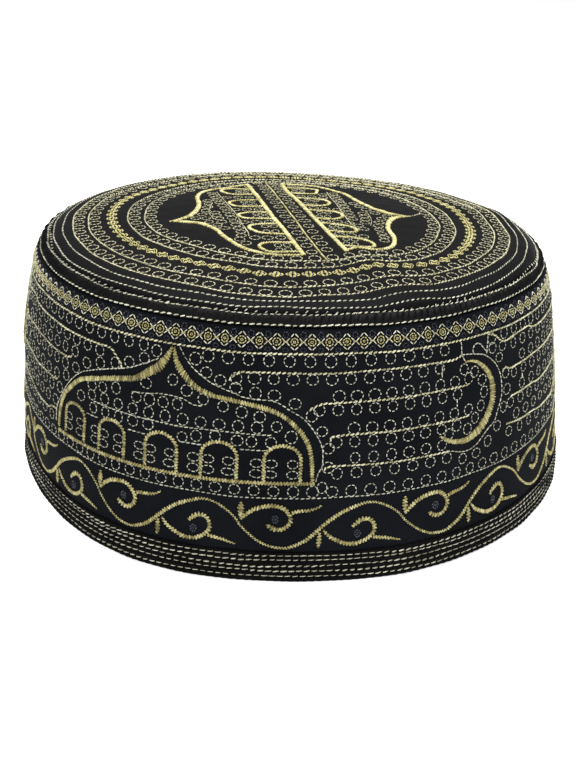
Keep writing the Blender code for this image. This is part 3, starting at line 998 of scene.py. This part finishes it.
def build_domes():
    outline = Stitches(Side)
    arches = Stitches(Side)
    for start in UNIT_STARTS:
        for points, slant in ((DOME_RIGHT, -0.3), (DOME_LEFT, 0.3)):
            narrow = np.array(points) * (1.0, 1.0, DOME_SATIN_SHARE)
            outline.satin(smooth_line(turned(narrow, start)), 0.38, slant=slant, tone=0.42, spread=0.5)
        outline.satin(smooth_line(turned(DOME_BASE, start)), 0.45, tone=0.45)
        for arch in ARCHES:
            arches.satin(smooth_line(turned(arch_line(*arch), start), steps=4), 0.46, height=0.42)
    outline.piece("dome_outlines", gold_thread)
    arches.piece("dome_arches", gold_thread)


def build_crescents():
    moons = Stitches(Side)
    for start in UNIT_STARTS:
        line = smooth_line(turned(CRESCENT, start))
        moons.satin(line, 0.34, slant=0.25, height=0.48, tone=0.48, spread=0.42)
    moons.piece("crescents", gold_thread)


def build_threads():
    fine = Stitches(Side)
    gold = Stitches(Side)
    for start in UNIT_STARTS:
        for points in (DOME_ECHO_LEFT, DOME_ECHO_RIGHT, CRESCENT_ECHO) + CRESCENT_THREADS:
            fine.run(smooth_line(turned(points, start)), 1.3, 0.12, 0.34, 0.28, slant=0.1, wander=0.05)
        for points in DOME_THREADS:
            fine.run(smooth_line(turned(points, start)), 1.3, 0.15, 0.36, 0.28, slant=0.15)
        for points in ROW_THREADS:
            gold.run(smooth_line(turned(points, start)), **ROW_CORD)
        for right, left in BRIDGE_THREADS:
            line = np.concatenate([turned(right, start), turned(left, start + UNIT_TURN)])
            gold.run(smooth_line(line), **ROW_CORD)
    fine.piece("band_fine_threads", pale_thread)
    gold.piece("band_row_threads", straw_thread)


def row_of(first, last, count, first_height, last_height):
    """Places in a row, from one direction on the flat cloth to another."""
    turn = worn_turn(np.linspace(first, last, count))
    return np.column_stack([turn, np.linspace(first_height, last_height, count)])


def build_side_rings():
    rings = Stitches(Side)
    ovals = Stitches(Side)
    for start in UNIT_STARTS:
        for first, last, count, first_height, last_height in RING_ROWS:
            ends = sewn_turn(np.array([first, last])) + start
            rings.rings(row_of(*ends, count, first_height, last_height), RING)
        for first, last in BRIDGE_RINGS:
            ends = sewn_turn(np.array([first[0], last[0]])) + np.array([start, start + UNIT_TURN])
            count = round((ends[1] - ends[0]) / BRIDGE_PITCH) + 1
            rings.rings(row_of(*ends, count, first[1], last[1]), RING)
        rings.rings(turned(SINGLE_RINGS, start), RING)
        for height in OVAL_HEIGHTS:
            places = np.column_stack([OVAL_TURNS, np.full(len(OVAL_TURNS), height)])
            ovals.rings(turned(places, start), OVAL, gap=0.2)
    rings.piece("band_rings", pale_thread)
    ovals.piece("dome_ovals", pale_thread)


# The vine: one repeat of its stem, scrolls and buds

VINE_REPEATS = 13
VINE_STEM = (
    (-41.3, 23.6, 0.9), (-39.9, 23.4, 0.7), (-38.5, 22.4, 0.8), (-37, 20.7, 0.75), (-35.9, 18.9, 0.75),
    (-35.1, 16.9, 0.75), (-33.9, 14.8, 0.75), (-32.5, 12.8, 0.8), (-30.8, 11.2, 0.85), (-29.4, 10.7, 0.9),
    (-27.8, 10.6, 0.9), (-26.3, 11.5, 1.1), (-24.8, 12.8, 1.2), (-23.4, 14.8, 1.25), (-22.3, 16.6, 1.25),
    (-21.1, 18.5, 1.25), (-19.7, 20.2, 1.25), (-18, 21.8, 1.2), (-16.3, 22.9, 1.1),
)
SCROLL_UPPER = (
    (-35.1, 18.7, 0.7), (-34.1, 20.5, 1.2), (-32.8, 22.1, 1.3), (-31.4, 22.9, 1.3), (-29.9, 23.2, 1.3),
    (-28.7, 22.8, 1.3), (-27.8, 21.6, 1.3), (-27.2, 20, 1.3), (-27.2, 18.5, 1.3), (-27.8, 16.9, 1.3),
    (-28.7, 16.1, 1.3), (-29.5, 16.1, 1.4), (-30.2, 16.6, 1.5), (-30.8, 17.6, 1),
)
TAIL_UPPER = (
    (-27, 21.2, 1.1), (-25.7, 21.7, 1.1), (-24.3, 21.9, 1), (-23.1, 22.5, 0.8), (-22.2, 23.4, 0.5),
)
BUD_UPPER = ((-35.1, 19.2, 0.8), (-35.1, 20.6, 1.6), (-35.05, 22, 1.9), (-35, 23.9, 0.7))
SCROLL_LOWER = (
    (-21.8, 16, 0.7), (-20.9, 14.1, 1.2), (-19.7, 12.8, 1.3), (-18.3, 11.7, 1.3), (-16.9, 11.4, 1.3),
    (-15.5, 11.9, 1.3), (-14.2, 13.2, 1.3), (-13.5, 14.8, 1.3), (-13.5, 16.6, 1.3), (-14, 18.2, 1.3),
    (-15, 18.8, 1.4), (-16, 18.2, 1.5), (-17.1, 16.6, 1),
)
TAIL_LOWER = ((-13.7, 13, 1.1), (-12.3, 12.5, 1.1), (-10.9, 12, 0.9), (-9.1, 11.1, 0.5))
BUD_LOWER = ((-22.4, 15.2, 0.7), (-22.45, 13.8, 1.4), (-22.5, 12.3, 1.6), (-22.6, 10.6, 0.6))
VINE_EYELETS = ((-29.6, 19.2), (-16.2, 14.4))


def laid_flat(points, start):
    """Charted points as they were on the flat cloth, moved along it."""
    points = np.array(points, float)
    points[:, 0] = sewn_turn(points[:, 0]) + start
    return points


def build_vine():
    starts = 360.0 / VINE_REPEATS * np.arange(VINE_REPEATS)
    stem = Stitches(Side)
    whole = [laid_flat(VINE_STEM, start) for start in starts] + [laid_flat(VINE_STEM[:1], 360.0)]
    line = smooth_line(np.concatenate(whole))
    line[:, 0] = worn_turn(line[:, 0])
    stem.satin(slipped(line), 0.42, height=0.36, thread=0.4, slant=0.15, tone=0.6)
    stem.piece("vine_stem", gold_thread)
    leaves = Stitches(Side)
    eyelets = Stitches(Side)
    for start in starts:
        for points in (SCROLL_UPPER, TAIL_UPPER, BUD_UPPER, SCROLL_LOWER, TAIL_LOWER, BUD_LOWER):
            leaves.satin(smooth_line(slipped(turned(points, start))), 0.45, height=0.45)
        places = slipped(turned(VINE_EYELETS, start))
        # Tones near the bright end: painted highlight on the eyelets' black thread
        eyelets.rings(places, (0.85, 1.1), 7, width=0.34, height=0.24, tone=0.85)
        eyelets.rings(places, (0.3, 0.45), 4, width=0.3, height=0.24, tone=0.75)
    leaves.piece("vine_scrolls", gold_thread)
    eyelets.piece("vine_eyelets", sheen_painted_black_thread)


# The crown's rings

CROWN_LINES = CROWN_SEAMS[:2] + CROWN_SEAMS[3:5]

# Rows of rings: the radius, how many, the direction of one of them, and their size
CROWN_RING_ROWS = (
    (47.1, 53, 1, 1.8), (52.2, 59, -0.7, 1.8), (64.8, 74, -0.5, 1.75), (70.3, 82, -1.5, 1.75),
)
CROWN_RUNS = CROWN_SEAMS[5:]
CROWN_CHAIN = CROWN_SEAMS[2]
CROWN_CHAIN_COUNT = 80
CROWN_CHAIN_START = -0.1


def crown_ring(radius, count=720, first=0.0):
    turn = (first + np.arange(count) * 2.0 * math.pi / count + math.pi) % (2.0 * math.pi) - math.pi
    reach = radius + ring_drift(turn, np.full(count, radius))
    return np.column_stack([reach * np.sin(turn), -reach * np.cos(turn)]), turn


def closed_ring(radius):
    ring, _ = crown_ring(radius)
    return np.concatenate([ring, ring[:1]])


def build_crown_rings():
    cords = Stitches(Crown)
    for radius in CROWN_LINES:
        cords.run(closed_ring(radius), 1.35, 0.04, 0.46, 0.32, slant=0.36, tone=0.63, wander=0.2)
    cords.piece("crown_ring_cords", straw_thread)
    runs = Stitches(Crown)
    for radius in CROWN_RUNS:
        runs.run(closed_ring(radius), 1.35, 0.35, 0.38, 0.3, slant=0.3, wander=0.2)
    runs.piece("crown_edge_stitches", cream_thread)
    rings = Stitches(Crown)
    for radius, count, first, size in CROWN_RING_ROWS:
        places, turn = crown_ring(radius, count, math.radians(first))
        rings.rings(places, (size, size), 9, 0.07, width=0.35, height=0.17, tone=0.62, lean=turn)
    rings.piece("crown_rings", straw_thread)
    chain = Stitches(Crown)
    places, turn = crown_ring(CROWN_CHAIN, CROWN_CHAIN_COUNT, math.radians(CROWN_CHAIN_START))
    chain.lozenges(places, (2.2, 1.85), 2, 0.38, 0.3, tone=0.62, lean=turn)
    chain.lozenges(places, (1.3, 1.0), 1, 0.42, 0.36, tone=0.62, lean=turn)
    chain.piece("crown_chain", crown_gold_thread)


# The two half domes on the crown. Points are x and y, and a third column is a width.

LEFT_BASE = (
    (-18.2, 41.2, 1.7), (-13.9, 21.4, 1.7), (-9.3, 0.7, 1.7), (-5, -15.6, 1.7), (-0.8, -30.5, 1.7),
    (2.9, -43.7, 1.7),
)
RIGHT_BASE = (
    (-5.4, 43.7, 1.7), (-3.3, 29.3, 1.7), (0.2, 17, 1.7), (3.5, 3, 1.7), (7.3, -10.5, 1.7),
    (11.3, -24.3, 1.7), (16.1, -39.6, 1.7),
)
LEFT_DOME = (
    (-18.3, 41.3, 1.2), (-27.9, 32.5, 1.4), (-31.2, 29.6, 1.5), (-33.4, 25.6, 1.6), (-34.3, 20.1, 1.7),
    (-34, 14, 1.7), (-32.8, 7.6, 1.8), (-32.6, 2, 1.9), (-33.1, -2.9, 2.1), (-34.2, -7, 2.3),
    (-36.3, -10.6, 2), (-40, -14, 0.8),
)
LEFT_DOME_FRONT = (
    (-38.8, -13.8, 0.9), (-35.7, -14.2, 1.9), (-31.4, -15.3, 2.2), (-28.2, -17.5, 2), (-25.4, -20.8, 1.8),
    (-23.2, -24.3, 1.7), (-21.1, -29.3, 1.7), (-18.2, -34.3, 1.7), (-15, -38.9, 1.7), (-10.7, -42.5, 1.6),
    (-5.7, -44.3, 1.5), (-0.7, -44.3, 1.4), (2.9, -43.7, 1.2),
)
RIGHT_DOME = (
    (-5.2, 43.8, 1.2), (4.5, 42.3, 1.4), (9.5, 38.6, 1.5), (13.8, 34.2, 1.6), (17.3, 30, 1.7),
    (19.2, 25, 1.7), (20.8, 19.8, 1.7), (22.8, 15, 1.8), (25.6, 10.1, 1.9), (29.2, 5.8, 2.1),
    (33.6, 3.3, 1.9), (37.9, 2.5, 0.8),
)
RIGHT_DOME_FRONT = (
    (37.2, 2.2, 0.9), (35, 1.2, 1.7), (32.5, -1.4, 2.1), (31.1, -5, 2.1), (30.4, -9.5, 1.9),
    (30.3, -14.4, 1.8), (31.1, -19.3, 1.8), (31.6, -23.6, 1.7), (31.3, -28.6, 1.7), (30, -32.7, 1.6),
    (27.5, -35, 1.6), (23.6, -36.1, 1.5), (19.3, -35.7, 1.4), (16.4, -38.2, 1.2),
)
APEX_THREAD = ((37.9, 2.5), (40, 5), (42.5, 8.4))
CENTRE_LINE = ((9.9, -47.3), (7.5, -40), (4.8, -30), (2.4, -20), (0, -10), (-4.5, 10), (-11.8, 47))

# Rings beside the centre line: how far across, how far along is the first, and their pitch
CENTRE_RINGS = ((-2.25, 7.2, 5.9), (2.75, 8.4, 5.67))

# Arches along each dome's base, the left dome's first
CROWN_ARCHES = (
    ((-0.7, -33.2), (-7.9, -33.6), (-10.4, -36.8), (-8.6, -40.4), (-6.1, -41.8), (1.8, -41)),
    ((-5.4, -15), (-12.1, -16.4), (-14.1, -19.6), (-12.1, -23.6), (-9.3, -25.4), (-2.1, -25.7)),
    ((-8.3, -2.3), (-15, -3), (-18.5, -6), (-17.2, -8.9), (-14.3, -10.2), (-6.4, -9.6)),
    ((-13.2, 14.1), (-20, 12.8), (-22.7, 9.2), (-20.7, 5.2), (-17.1, 4.2), (-11, 5.1)),
    ((-16.4, 32.6), (-24.3, 33), (-27.1, 29.3), (-25.4, 25.7), (-22.1, 22.9), (-14.7, 23.6)),
    ((12.4, -26.3), (19.3, -26.8), (23.6, -29.3), (25, -32.1), (23.2, -34.3), (15.1, -34.6)),
    ((8.6, -12.6), (16.4, -13.9), (19.6, -17.1), (19.6, -20.4), (17, -21.3), (10.6, -20.7)),
    ((4.3, 2.4), (12.1, 2.1), (15.4, -0.7), (15.4, -4.6), (12.9, -7.1), (6.9, -7.1)),
    ((0.2, 19.5), (8.9, 18), (11.5, 14), (10.5, 10.1), (7.7, 8.6), (2.8, 8.2)),
    ((-3.7, 36), (6.6, 35.2), (7.6, 31), (6.1, 26.8), (-2.1, 26.6)),
)

# How many of the arches are the left dome's, and how wide each one's stitching is
CROWN_ARCH_SIDE = 5
CROWN_ARCH_WIDTH = 1.3

# The threads inside the domes: a long one and a short one in each
DOME_ROWS = (
    ((-28.4, 26.5), (-25.7, 15.7), (-21.4, 1.4), (-18.2, -9.3), (-14.3, -24.3), (-13.9, -28.6)),
    ((11.1, 30.7), (13.2, 16.4), (15.7, 1.4), (18.2, -11.4), (21.1, -18.6)),
)
DOME_TWIGS = (((-28.4, 9), (-28.5, -3), (-26.2, -11)), ((23.8, 6), (25.1, -4), (24.7, -11.5)))
CROWN_SATIN_SHARE = 0.94
SMALL_RING_LOOK = {"gap": 0.1, "width": 0.35}


def inside(points, outline):
    """Which points lie inside a closed outline."""
    x, y = points[:, 0], points[:, 1]
    hit = np.zeros(len(points), bool)
    for (ax, ay), (bx, by) in zip(outline, np.roll(outline, -1, axis=0)):
        crosses = (ay > y) != (by > y)
        reach = ax + (y - ay) * (bx - ax) / (by - ay if by != ay else 1e-9)
        hit ^= crosses & (x < reach)
    return hit


def clear_of(points, line, distance):
    gaps = np.linalg.norm(points[:, None, :] - line[None, :, :2], axis=2)
    return gaps.min(axis=1) > distance


def rows_beside(line, offsets, pitch):
    """Places in rows beside a line, each row that far off it."""
    along = lengths_along(Crown, line)
    places = []
    for k, offset in enumerate(offsets):
        reach = np.arange(0.5 * (k % 2) * pitch, along[-1], pitch)
        course = at_lengths(line, along, reach + 0.5) - at_lengths(line, along, reach - 0.5)
        course = course[:, :2] / np.linalg.norm(course[:, :2], axis=1, keepdims=True)
        across = np.stack([course[:, 1], -course[:, 0]], axis=1)
        places.append(at_lengths(line, along, reach)[:, :2] + offset * across)
    return np.concatenate(places)


def apart(places, gap):
    """The places that keep a gap from all those before them."""
    kept = []
    for place in places:
        if all(math.hypot(*(place - other)) > gap for other in kept):
            kept.append(place)
    return np.array(kept)


def arch_frame(arch):
    """The middle of an arch's foot, the course away from the dome's base, and the arch's width along it."""
    foot = np.array([arch[0], arch[-1]])
    middle = foot.mean(axis=0)
    away = np.array(arch[1:-1]).mean(axis=0) - middle
    away /= np.linalg.norm(away)
    return middle, away, np.linalg.norm(foot[0] - foot[1])


def places_between_arches():
    places = []
    for k in range(len(CROWN_ARCHES) - 1):
        if k != CROWN_ARCH_SIDE - 1:
            near, away, _ = arch_frame(CROWN_ARCHES[k])
            far, onward, _ = arch_frame(CROWN_ARCHES[k + 1])
            places += [0.5 * (near + far) + 0.5 * (away + onward) * reach for reach in (2.6, 6.5, 10.4)]
    return places


def places_in_dome(outline, row, twig, hand, taken):
    """Places for the rings inside a dome, clear of its threads and of the places that are taken."""
    outline = np.array(outline)[:, :2]
    edge = smooth_line(outline)
    arch_lines = np.concatenate([smooth_line(points) for points in CROWN_ARCHES])
    places = np.concatenate([
        rows_beside(row, (2.1 * hand, -2.1 * hand), 3.9),
        rows_beside(edge, (3.1, -3.1), 3.9),
        rows_beside(smooth_line(twig), (2.0, -2.0), 3.7),
        rows_beside(row, (-6.0 * hand, -9.6 * hand), 3.7),
    ])
    places = places[inside(places, outline)]
    clear = clear_of(places, edge, 2.5) & clear_of(places, arch_lines, 2.3)
    return apart(np.concatenate([taken, places[clear]]), 3.3)[len(taken):]


def build_crown_domes():
    satin = Stitches(Crown)
    arches = Stitches(Crown)
    small = Stitches(Crown)
    thread = Stitches(Crown)
    for points in (LEFT_BASE, RIGHT_BASE, LEFT_DOME, LEFT_DOME_FRONT, RIGHT_DOME, RIGHT_DOME_FRONT):
        narrow = np.array(points) * (1.0, 1.0, CROWN_SATIN_SHARE)
        satin.satin(smooth_line(narrow), 0.42, tone=0.58)
    for points in CROWN_ARCHES:
        wide = np.column_stack([np.array(points), np.full(len(points), CROWN_ARCH_WIDTH)])
        arches.satin(smooth_line(wide), 0.45, height=0.42, tone=0.6)
        middle, away, width = arch_frame(points)
        beside = np.array([-away[1], away[0]])
        ovals = []
        for reach in (2.5, 5.2):
            ovals += [middle + away * reach + beside * share * width for share in (-0.23, 0.23)]
        small.rings(ovals, (1.15, 1.45), gap=0.1, width=0.34, lean=math.atan2(away[1], away[0]))
    between_arches = places_between_arches()
    small.rings(between_arches, RING, **SMALL_RING_LOOK)
    domes = ((LEFT_DOME + LEFT_DOME_FRONT, -1.0), (RIGHT_DOME + RIGHT_DOME_FRONT, 1.0))
    for (outline, hand), row, twig in zip(domes, DOME_ROWS, DOME_TWIGS):
        row_line = smooth_line(row)
        small.rings(places_in_dome(outline, row_line, twig, hand, between_arches), RING, **SMALL_RING_LOOK)
        thread.run(row_line, 1.3, 0.05, 0.42, 0.32, slant=0.2)
    centre = smooth_line(CENTRE_LINE)
    along = lengths_along(Crown, centre)
    for across, first, pitch in CENTRE_RINGS:
        middles = at_lengths(centre, along, np.arange(first, along[-1] - 1.5, pitch))
        small.rings(middles + np.array([across, 0.25 * across]), (1.75, 1.7), 9, 0.08, width=0.36)
    for points in DOME_TWIGS + (APEX_THREAD,):
        thread.run(smooth_line(points), 1.3, 0.1, 0.38, 0.28)
    arches.run(centre, 1.4, -0.15, 0.66, 0.42, slant=0.4)
    satin.piece("crown_domes", crown_gold_thread)
    arches.piece("crown_arches", crown_gold_thread)
    small.piece("crown_small_rings", straw_thread)
    thread.piece("crown_threads", straw_thread)


# The floor, the light and the camera

FLOOR_HALF = 6.0
FLOOR_GLOW = 0.45
WORLD_STRENGTH = 0.40
WHITE = (1.0, 1.0, 1.0, 1.0)

# Lights: name, place, aim, size and power
LIGHTS = (
    ("overhead", (0.0, 0.25, 1.3), (0.0, 0.0, 0.05), 1.2, 26.0),
    ("front_left", (-0.7, -1.0, 0.75), (0.0, 0.0, 0.04), 0.7, 6.5),
    ("front_right", (0.8, -0.9, 0.6), (0.0, 0.0, 0.04), 0.6, 7.0),
)
CAMERA_PLACE = (0.0, -0.3252, 0.1740)
CAMERA_PITCH = 25.76
CAMERA_YAW = -0.10
CAMERA_ROLL = 1.80
CAMERA_LENS = 46.88
SENSOR_HEIGHT = 36.0


def build_floor():
    mesh = bpy.data.meshes.new("floor")
    corners = [(x * FLOOR_HALF, y * FLOOR_HALF, 0) for x, y in ((-1, -1), (1, -1), (1, 1), (-1, 1))]
    mesh.from_pydata(corners, [], [(0, 1, 2, 3)])
    floor = placed("floor", mesh)
    nodes = Nodes("studio_floor")
    stops = ((0.3, (0.93, 0.93, 0.93, 1.0)), (0.7, (0.95, 0.95, 0.95, 1.0)))
    mesh.materials.append(nodes.finish({
        "Base Color": nodes.ramp(nodes.noise(3.0, 2.0), *stops),
        "Roughness": 0.9,
        "Specular IOR Level": 0.1,
        "Emission Color": WHITE,
        "Emission Strength": FLOOR_GLOW,
    }))


def build_light():
    world = bpy.data.worlds.new("studio")
    world.use_nodes = True
    background = world.node_tree.nodes["Background"]
    background.inputs["Color"].default_value = WHITE
    background.inputs["Strength"].default_value = WORLD_STRENGTH
    bpy.context.scene.world = world
    for name, place, aim, size, power in LIGHTS:
        light = bpy.data.lights.new(name, "AREA")
        light.shape = "DISK"
        light.size = size
        light.energy = power
        thing = placed(name, light)
        thing.location = place
        thing.rotation_euler = (Vector(aim) - Vector(place)).to_track_quat("-Z", "Y").to_euler()
    bpy.context.scene.view_settings.view_transform = "Standard"


def build_camera():
    camera = bpy.data.cameras.new("camera")
    camera.sensor_fit = "VERTICAL"
    camera.sensor_height = SENSOR_HEIGHT
    camera.lens = CAMERA_LENS
    camera.clip_start = 0.01
    turn = Matrix.Rotation(-math.radians(CAMERA_YAW), 4, "Z")
    tip = Matrix.Rotation(math.radians(90.0 - CAMERA_PITCH), 4, "X")
    roll = Matrix.Rotation(math.radians(CAMERA_ROLL), 4, "Z")
    thing = placed("camera", camera)
    thing.matrix_world = Matrix.Translation(CAMERA_PLACE) @ turn @ tip @ roll
    bpy.context.scene.camera = thing


build_band()
build_crown()
build_piping()
hem = build_hem()
build_hem_stitches()
build_fold_stitches()
build_band_chain()
build_band_edges()
build_domes()
build_crescents()
build_threads()
build_side_rings()
build_vine()
build_crown_rings()
build_crown_domes()
build_floor()
build_light()
build_camera()
